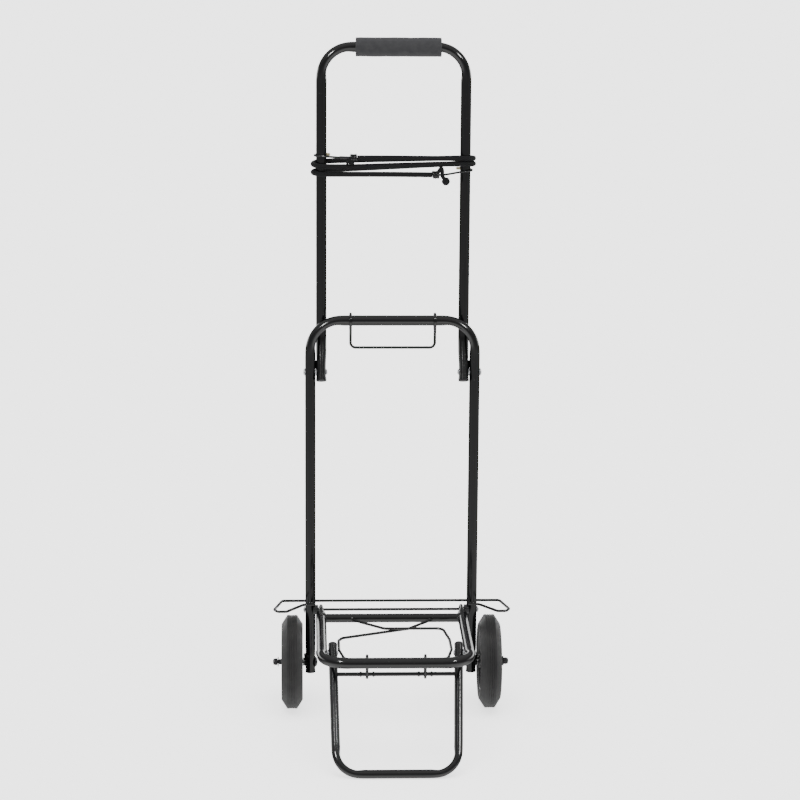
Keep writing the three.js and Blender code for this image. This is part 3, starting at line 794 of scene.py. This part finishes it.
def make_saddles():
    """Moulded blocks between the platform's flat ends and the legs."""
    for side, word in SIDES.items():
        node = f"hinge_saddle_{word}"
        low, high = box_corners(node)
        inner, outer = (high.x, low.x) if side < 0 else (low.x, high.x)
        height = high.z - low.z
        rings = []
        full = ((inner + side * 0.8 * MM, 1), (outer - side * 0.4 * MM, 1))
        for x, shrink in ((inner, 0.86), *full, (outer, 0.94)):
            rings.append(rounded_square(Vector((x, HINGE.y, HINGE.z)), high.y - low.y, height, shrink))
        if side < 0:
            rings = [ring[::-1] for ring in rings]
        vertices, faces = skin(rings)
        make_object(f"saddle_block_{word}", vertices, faces, PLASTIC, "frame", [node])


def rounded_square(centre, wide, high, shrink):
    """A superellipse of 40 points, square across the X axis."""
    ring = []
    for k in range(40):
        angle = 2 * math.pi * (k + 0.5) / 40
        c, s = math.cos(angle), math.sin(angle)
        reach = (abs(c) ** 5 + abs(s) ** 5) ** (-1 / 5)
        ring.append(centre + Vector((0, c * reach * wide / 2, s * reach * high / 2)) * shrink)
    return ring


make_main_frame()
make_guard_wire()
make_hinge_rod()
make_saddles()


# ---- bail ----
def make_bail():
    """A wire bail whose eyes close below the frame's top bar."""
    reach = TUBE_R + WIRE_R + 0.5 * MM
    apex = BAIL_PIVOT + Vector((-BAIL_X, 0, -2 * reach))
    shy = 6.8 * MM
    eye = [(apex + Vector((0, shy * 0.5, shy * 0.866)), 0)]
    for k in range(31):
        angle = math.radians(-30 + 8 * k)
        off = Vector((-BAIL_X, reach * math.cos(angle), reach * math.sin(angle)))
        eye.append((BAIL_PIVOT + off, 0))
    arm = [(apex, 5 * MM), (Vector((-BAIL_X, FRAME_Y, BAIL_BOTTOM)), 8 * MM)]
    left = [*eye, *arm]
    wire("bail_wire", rounded([*left, *mirrored(left)], 10), "bail", ["top_bail"])


make_bail()


# ---- wheels and axles ----
HUB_IN, HUB_OUT = x_span("hub_right")
WHEEL_X = (HUB_IN + HUB_OUT) / 2
RIBS = 10
RIB_HALF = 1.3  # half a rib's thickness, in millimetres
RIB_SIDE = ((10.5, 2), (10.5, 14.5), (45.5, 9.5), (45.5, 2))  # (radius, distance from WHEEL_X), mm


def make_axles():
    low, high = x_span("axle_bolt_right")
    long = (high - low) / MM
    quarter = [math.radians(a) for a in range(0, 91, 10)]
    dome = [(8.5 * math.sin(a), 5.3 - 4.3 * math.cos(a)) for a in quarter]
    shank = [(8.5, 5.3), (3, 5.3), (3, long - 0.8), (2.3, long), (0, long)]
    pair("axle_bolt", at_x(low, *dome, *shank), AXLE, BLACK_STEEL)
    low, high = x_span("hub_spacer_right")
    wide = (high - low) / MM
    sleeve = at_x(low, (3.2, 0), (7, 0), (6.2, wide / 2), (7, wide), (3.2, wide), (3.2, 0))
    pair("hub_spacer", sleeve, AXLE, PLASTIC)
    low, high = x_span("axle_bush_right")
    pair("axle_bush", flat_ring(low, 3.1, 4.4, (high - low) / MM), AXLE, BLACK_STEEL)
    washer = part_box("axle_washer_right")[0][0]
    pair("axle_washer", flat_ring(washer, 3.2, 7.7, 1.5), AXLE, BLACK_STEEL)
    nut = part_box("axle_nut_right")[0][0]
    hexagon = at_x(nut, (3.2, 0), (5.2, 0), (5.8, 0.5), (5.8, 4.5), (5.1, 5.1), (3.2, 5.1), (3.2, 0))
    pair("axle_nut", hexagon, AXLE, BLACK_STEEL, segments=6, bevel=0.2 * MM)
    collar = at_x(nut, (3.1, 4.9), (4.9, 4.9), (4.7, 6.3), (4.1, 6.9), (3.1, 6.9), (3.1, 4.9))
    centre = Vector((0, AXLE.y, AXLE.z))
    for side, word in SIDES.items():
        name = f"nut_collar_{word}"
        lathe(name, collar, centre, PLASTIC, "frame", (), mirror=side)


def make_wheels():
    """Solid rubber tyre with moulded lines round its crown, on a ribbed plastic hub."""
    radius = AXLE.z / MM
    half = (HUB_OUT - HUB_IN) / 2 / MM
    crown = [
        (50.9, -13), (52.6, -15.6), (54, -16.4), (57, -half), (60.5, -half), (61.6, -16.4),
        (radius - 0.9, -8.4), (radius, -7.4), (radius, -4), (radius - 0.7, -3.6), (radius - 0.7, -3.0),
        (radius, -2.6), (radius, -0.5), (radius - 0.9, -0.1), (radius - 0.9, 0.6), (radius, 1.0),
        (radius, 2.6), (radius - 0.7, 3.0), (radius - 0.7, 3.6), (radius, 4), (radius, 7.4),
        (radius - 0.9, 8.4), (61.6, 16.4), (60.5, half), (57, half), (54, 16.4), (52.6, 15.6),
        (50.9, 13), (50.9, -13),
    ]
    pair("tyre", at_x(WHEEL_X, *crown), AXLE, RUBBER, "wheel", 120, 0.3 * MM)
    disc = [
        (4.6, -half), (9.5, -half), (11, -16.2), (12.4, -3.4), (14, -2.6), (42, -2.6), (43.8, -3.6),
        (46, -14.2), (47, -15), (50.6, -15), (50.6, 15), (47, 15), (46, 14.2), (43.8, 3.6), (42, 2.6),
        (14, 2.6), (12.4, 3.4), (11, 16.2), (9.5, half), (4.6, half), (4.6, -half),
    ]
    pair("hub", at_x(WHEEL_X, *disc), AXLE, PLASTIC, "wheel", 96, 0.5 * MM)
    for side, word in SIDES.items():
        make_ribs(side, word)


def make_ribs(side, word):
    """Ten moulded ribs on each face of the hub, lower at the rim than at the boss."""
    vertices, faces = [], []
    for face_side in (-1, 1):
        for k in range(RIBS):
            turn = Matrix.Rotation(2 * math.pi * k / RIBS, 3, "X")
            base = len(vertices)
            for across in (-RIB_HALF, RIB_HALF):
                for radius, height in RIB_SIDE:
                    off = turn @ Vector((0, across * MM, radius * MM))
                    x = side * WHEEL_X + face_side * height * MM
                    vertices.append(Vector((x, AXLE.y + off.y, AXLE.z + off.z)))
            quads = [(0, 1, 2, 3), (7, 6, 5, 4), (0, 4, 5, 1), (1, 5, 6, 2), (2, 6, 7, 3), (3, 7, 4, 0)]
            for quad in quads:
                face = tuple(base + v for v in quad)
                faces.append(face if face_side > 0 else face[::-1])
    ribs = make_object(f"hub_ribs_{word}", vertices, faces, PLASTIC, f"wheel_{word}", ())
    soften(ribs, 0.5 * MM)


make_axles()
make_wheels()


# ---- handle ----
def lower_leg(distance):
    """A point on the tilted lower part of the left handle leg, counted up from its pivot."""
    kink = Vector((0, HANDLE_Y - HANDLE_PIVOT.y, HANDLE_KINK_Z - HANDLE_PIVOT.z)).normalized()
    return Vector((-HANDLE_X, HANDLE_PIVOT.y, HANDLE_PIVOT.z)) + kink * distance


def make_handle():
    left = [
        (lower_leg(-HANDLE_TAIL), 0),
        (Vector((-HANDLE_X, HANDLE_Y, HANDLE_KINK_Z)), 40 * MM),
        (Vector((-HANDLE_X, HANDLE_Y, HANDLE_TOP)), HANDLE_BEND),
    ]

    def pressed(point):
        """The rivet pinches the leg's side walls, and the end below it flares."""
        height = point.z - HANDLE_PIVOT.z
        pinch = 1 - step(height, 8 * MM, 34 * MM)
        flare = 1 - step(height, -11 * MM, -3 * MM)
        return 1 - 0.11 * pinch + 0.12 * flare, 1 + 0.07 * pinch

    tube("handle_loop", both_sides(left), TUBE_R, "handle", "handle_tube", pressed=pressed)
    for side, word in SIDES.items():
        make_plug(side, word)


def make_plug(side, word):
    """A glossy plug with a flange that closes the flared end of a handle leg."""
    top, bottom = lower_leg(-HANDLE_TAIL), lower_leg(-HANDLE_TAIL - 3 * MM)
    path = [top.lerp(bottom, t) for t in (0.02, 0.2, 0.75, 1.0)]
    path = [Vector((-side * p.x, p.y, p.z)) for p in path]
    widths = [(wide, wide * 1.08) for wide in (0.98, 1.04, 1.02, 0.86)]
    rings = sweep_rings(path, TUBE_R, TUBE_SIDES, Vector((1, 0, 0)), lambda i, _: widths[i])
    vertices, faces = skin(rings)
    plug = make_object(f"end_plug_{word}", vertices, faces, PLASTIC, "handle", [f"handle_end_plug_{word}"])
    soften(plug, 0.4 * MM)


def make_rivets():
    low, high = x_span("handle_rivet_right")
    long = (high - low) / MM
    shop_head = [(0, 0), (2.4, 0.05), (3.8, 0.7), (4.8, 1.7), (4.8, 2.0), (3, 2.0)]
    dome = [(5.6, long - 2.6), (5.4, long - 1.6), (4, long - 0.5), (2, long - 0.05), (0, long)]
    pair("handle_rivet", at_x(low, *shop_head, (3, long - 2.6), *dome), HANDLE_PIVOT, ZINC)
    low, high = x_span("handle_spacer_right")
    pair("handle_spacer", flat_ring(low, 3.2, 6, (high - low) / MM), HANDLE_PIVOT, ZINC)


def make_grip():
    """Foam sleeve, cut square at both ends, with a slightly uneven skin."""
    low, high = box_corners("foam_grip")
    centre = Vector((0, HANDLE_Y, HANDLE_TOP))
    radius = (high.z - low.z) / 2
    long = high.x - low.x
    rounding = 0.9 * MM
    profile = [(TUBE_R + 0.05 * MM, 0), (radius - rounding, 0)]
    profile += [(radius - rounding + rounding * math.sin(math.radians(a)),
                 rounding - rounding * math.cos(math.radians(a))) for a in (30, 60, 90)]
    slices = 60
    profile += [(radius, long * k / slices) for k in range(1, slices)]
    profile += [(r, long - x) for r, x in reversed(profile[:5])]
    profile = [(r, x + low.x) for r, x in profile]
    profile.append(profile[0])
    grip = lathe("foam_sleeve", profile, centre, FOAM, "handle", ["foam_grip"], 64, bevel=0)
    shrink = 0.3 * MM  # keeps the uneven skin within the CAD's radius
    for vertex in grip.data.vertices:
        arm = vertex.co - Vector((vertex.co.x, centre.y, centre.z))
        if arm.length > radius * 0.9:
            sag = 0.35 * MM * noise.noise(vertex.co * 60) + 0.12 * MM * noise.noise(vertex.co * 260)
            vertex.co -= arm.normalized() * (shrink + sag)


make_handle()
make_rivets()
make_grip()


# ---- platform ----
FLAT_END = 8.6 * MM  # the flat ends' half height


def make_platform():
    back = Vector((-PLATFORM_X, PLATFORM_BACK, HINGE.z))
    left = [(back, 0), (Vector((-PLATFORM_X, PLATFORM_FRONT, HINGE.z)), PLATFORM_BEND)]

    def pressed(point):
        """The back ends are pressed flat round the hinge rod, with rounded tips."""
        reach = HINGE.y - point.y
        flat = 1 - step(reach, 10 * MM, 34 * MM)
        taper = math.sqrt(max(0.05, 1 - max(0.0, -reach / FLAT_END) ** 2))
        return 1 - 0.53 * flat, (1 + (FLAT_END / TUBE_R - 1) * flat) * taper

    tube("platform_loop", both_sides(left), TUBE_R, "platform", "platform_tube", pressed=pressed)
    half = PLATFORM_X - TUBE_R + 1.2 * MM
    ends = [Vector((x, CROSS.y, CROSS.z)) for x in (-half, half)]
    rings = sweep_rings(densified(ends, 6 * MM), CROSS_R, TUBE_SIDES, Vector((0, 0, 1)))
    vertices, faces = skin(rings)
    make_object("cross_tube", vertices, faces, PAINT, "platform", ["platform_cross_tube"])
    for side, word in SIDES.items():
        make_cross_weld(side, word)
        make_wire_collar(side, word)


def make_cross_weld(side, word):
    """The bead where the cross tube meets a side tube."""
    points = []
    for k in range(25):
        angle = 2 * math.pi * k / 24
        up = CROSS_R * math.sin(angle)
        x = side * (PLATFORM_X - math.sqrt(TUBE_R**2 - up**2) - 0.3 * MM)
        points.append(Vector((x, CROSS.y + (CROSS_R + 0.2 * MM) * math.cos(angle), CROSS.z + up)))
    bead(f"cross_weld_{word}", points, 1.3 * MM, "platform", side)


def make_wire_collar(side, word):
    """The raised edge of the hole where the support wire enters the cross tube."""
    radius = 3.1 * MM
    points = []
    for k in range(25):
        angle = 2 * math.pi * k / 24
        out = math.sqrt(CROSS_R**2 - (radius * math.sin(angle)) ** 2)
        centre = Vector((side * 61 * MM, CROSS.y - out, CROSS.z))
        points.append(centre + Vector((radius * math.cos(angle), 0, radius * math.sin(angle))))
    rings = sweep_rings(points, 0.6 * MM, 8, Vector((0, 1, 0)))
    vertices, faces = skin(rings)
    make_object(f"wire_hole_edge_{word}", vertices, faces, PAINT, "platform", ())


def make_pins():
    low, high = x_span("stand_pin_right")
    long = (high - low) / MM
    head = [(0, 0), (2.2, 0.05), (3.4, 0.4), (4, 1.1), (4, 1.3), (2.75, 1.3)]
    end = [(2.75, long - 1.1), (4.2, long - 1.1), (3.8, long - 0.5), (2.4, long - 0.1), (0, long)]
    pair("stand_pin", at_x(low, *head, *end), PIN, ZINC, "platform")
    low, high = x_span("stand_bush_right")
    pair("stand_bush", flat_ring(low, 2.9, 5.5, (high - low) / MM), PIN, ZINC, "platform")


make_platform()
make_pins()


# ---- stand ----
def on_leg(x, along):
    return Vector((x, PIN.y, PIN.z)) + LEG_DIRECTION * along


def make_stand():
    lean = (STAND_FOOT_X - STAND_TOP_X) / LEG_LENGTH
    left = [
        (on_leg(-(STAND_TOP_X - lean * STAND_TAIL), -STAND_TAIL), 0),
        (on_leg(-STAND_FOOT_X, LEG_LENGTH), STAND_BEND),
    ]
    tube("stand_loop", both_sides(left), STAND_R, "stand", "stand_tube")
    for side, word in SIDES.items():
        make_stand_cap(side, word, lean)
    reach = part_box("stand_rod")[1][0]
    ends = [Vector((x, ROD.y, ROD.z)) for x in (-reach, reach)]
    wire("stand_cross_rod", densified(ends, 20 * MM), "stand", ["stand_rod"], ROD_R, 20)
    for number in range(1, 5):
        make_crimp(number)


def make_stand_cap(side, word, lean):
    """A soft cap pulled over the top of a stand leg."""
    base = on_leg(side * (STAND_TOP_X - lean * STAND_TAIL), -STAND_TAIL)
    profile = [(-0.2, 6.6), (0.2, 6.95), (2.2, 6.9), (3.6, 6.3), (4.8, 4.9), (5.5, 2.9), (5.75, 0.8)]
    points = [base - LEG_DIRECTION * (h * MM) for h, _ in profile]
    widths = [r * MM for _, r in profile]
    rings = sweep_rings(points, 1.0, TUBE_SIDES, Vector((1, 0, 0)), lambda i, _: (widths[i], widths[i]))
    vertices, faces = skin(rings)
    make_object(f"cap_dome_{word}", vertices, faces, PLASTIC, "stand", [f"stand_cap_{word}"])


def make_crimp(number):
    """A pressed swelling on the rod that keeps a link in its place."""
    node = f"rod_crimp_{number}"
    centre = middle(node)
    rise = [(2.4, -2.2), (3.4, -1.5), (4.2, -0.6)]
    fall = [(radius, -x) for radius, x in reversed(rise)]
    profile = at_x(0, *rise, (4.4, 0), *fall, rise[0])
    lathe(f"{node}_swelling", profile, centre, WIRE_PAINT, "stand", [node], 28)


make_stand()


# ---- support wire and its links ----
def make_links():
    """Two flat wire ovals, each round the stand's rod and round the support wire."""
    up = (LOOP - ROD).normalized()
    across = Vector((0, up.z, -up.y))
    length = (LOOP - ROD).length
    points = [ROD + up * (length / 2 - 1 * MM) + across * LINK_BEND]
    for base, way, turns in ((0.0, -1, range(0, 181, 12)), (length, 1, range(180, -1, -12))):
        for degrees in turns:
            t = math.radians(degrees)
            reach = base + way * LINK_BEND * math.sin(t)
            points.append(ROD + up * reach + across * LINK_BEND * math.cos(t))
    points.append(ROD + up * (length / 2 + 1 * MM) + across * LINK_BEND)
    for side, word in SIDES.items():
        shifted = [p + Vector((side * LINK_X, 0, 0)) for p in points]
        wire(f"link_wire_{word}", shifted, "links", [f"link_{word}"], LINK_WIRE_R, normal=Vector((1, 0, 0)))


def make_support_wire():
    """One wire from the cross tube, crossed over itself like a ribbon, and back into the tube."""
    hinge_reach = (HINGE.y - CROSS.y) / MM
    over = 2.3  # half the height between the wires where they cross
    bends = [
        (-78, hinge_reach, 0, 0), (-62, hinge_reach, 4, 0), (-60, 60, 8, 0), (-14, 109, 8, over),
        (77, 109, 12, over), (85.5, 158, 30, 0), (86, 205, 25, 0), (78, LOOP_REACH / MM, 9, 0),
        (-78, LOOP_REACH / MM, 9, 0), (-86, 205, 25, 0), (-86, 160, 10, 0), (-80, 148, 8, 0),
        (24, 96, 10, -over), (60, 60, 8, 0), (62, hinge_reach, 4, 0), (78, hinge_reach, 0, 0),
    ]
    path = []
    for x, reach, bend, lift in bends:
        share = (reach - hinge_reach) / (LOOP_REACH / MM - hinge_reach)
        at = Vector((x * MM, HINGE.y - reach * MM, HINGE.z - LOOP_DROP * share + lift * MM))
        path.append((at, bend * MM))
    wire("support_loop", rounded(path, 10), "support_wire", ["support_wire"])


make_links()
make_support_wire()


# ---- stage ----
FLOOR_GLOW = 1.9  # the floor's own light, which keeps it as pale as the background and its shadows faint


def make_floor():
    half = 40
    mesh = bpy.data.meshes.new("floor")
    square = [(-half, -half, 0), (half, -half, 0), (half, half, 0), (-half, half, 0)]
    mesh.from_pydata(square, [], [(0, 1, 2, 3)])
    look = Look("floor_paper", (0.9, 0.9, 0.9), 0.8)
    look.set(Emission_Color=(1, 1, 1, 1), Emission_Strength=FLOOR_GLOW)
    look.drive("Roughness", look.span(look.noise(0.4), 0.3, 0.7, 0.7, 0.9))
    mesh.materials.append(look.material)
    floor = bpy.data.objects.new("floor", mesh)
    floor.visible_glossy = False
    floor.visible_diffuse = False
    bpy.context.collection.objects.link(floor)


def make_light(name, kind, energy, at, aim, **settings):
    data = bpy.data.lights.new(name, kind)
    data.energy = energy
    for key, value in settings.items():
        setattr(data, key, value)
    light = bpy.data.objects.new(name, data)
    light.location = at
    light.rotation_euler = (Vector(aim) - Vector(at)).to_track_quat("-Z", "Y").to_euler()
    bpy.context.collection.objects.link(light)
    return light


PALE = 3.2  # brightness of the background that the camera sees, and the most that the room has
# (sine of the elevation, brightness) of the room, in front of the cart and behind it
ROOM_FRONT = ((-1, 1.4), (-0.75, 2.1), (-0.45, 2.0), (-0.2, 0.62), (0.15, 0.32), (0.55, 0.6), (1, 0.9))
ROOM_BACK = (
    (-1, 1.4), (-0.7, 0.9), (-0.2, 0.1), (-0.08, 0.15), (-0.04, 3.2), (0.15, 3.2), (0.21, 0.15),
    (0.5, 0.4), (1, 0.8),
)


def make_room():
    """Pale to the camera. What shines on the cart is a dim room, with a glowing floor in front of it and
    a bright wall behind."""
    world = bpy.data.worlds.new("room")
    world.use_nodes = True
    tree = world.node_tree
    new, link = tree.nodes.new, tree.links.new
    split = new("ShaderNodeSeparateXYZ")
    link(new("ShaderNodeTexCoord").outputs["Generated"], split.inputs[0])
    shares = []
    for levels in (ROOM_FRONT, ROOM_BACK):
        ramp = new("ShaderNodeFloatCurve")
        curve = ramp.mapping.curves[0]
        curve.points[0].location = ((levels[0][0] + 1) / 2, levels[0][1] / PALE)
        curve.points[1].location = ((levels[-1][0] + 1) / 2, levels[-1][1] / PALE)
        for sine, level in levels[1:-1]:
            curve.points.new((sine + 1) / 2, level / PALE)
        ramp.mapping.update()
        height = new("ShaderNodeMapRange")
        height.inputs["From Min"].default_value = -1
        link(split.outputs["Z"], height.inputs["Value"])
        link(height.outputs[0], ramp.inputs["Value"])
        shares.append(ramp.outputs[0])
    behind = new("ShaderNodeMapRange")
    behind.interpolation_type = "SMOOTHSTEP"
    behind.inputs["From Min"].default_value = -0.1
    behind.inputs["From Max"].default_value = 0.6
    link(split.outputs["Y"], behind.inputs["Value"])
    blend = new("ShaderNodeMix")
    link(behind.outputs[0], blend.inputs["Factor"])
    link(shares[0], blend.inputs["A"])
    link(shares[1], blend.inputs["B"])
    seen = new("ShaderNodeMix")
    link(new("ShaderNodeLightPath").outputs["Is Camera Ray"], seen.inputs["Factor"])
    link(blend.outputs[0], seen.inputs["A"])
    seen.inputs["B"].default_value = 1
    strength = new("ShaderNodeMath")
    strength.operation = "MULTIPLY"
    strength.inputs[1].default_value = PALE
    link(seen.outputs[0], strength.inputs[0])
    link(strength.outputs[0], tree.nodes["Background"].inputs["Strength"])
    tree.nodes["Background"].inputs["Color"].default_value = (1, 1, 1, 1)
    bpy.context.scene.world = world


# (name, watts, place, width)
PANELS = (("left_panel", 130, (-2.25, -3.4, 3.2), 0.7), ("right_panel", 100, (2.75, -2.85, 3.0), 0.6))

make_floor()
make_room()
sun = make_light("overhead_sun", "SUN", 3, (0, -1, 4), (0, 0, 0), angle=math.radians(50))
sun.visible_glossy = False
for name, watts, at, width in PANELS:
    panel = make_light(name, "AREA", watts, at, (0, 0, 0.5), shape="RECTANGLE", size=width, size_y=0.6)
    panel.visible_diffuse = False
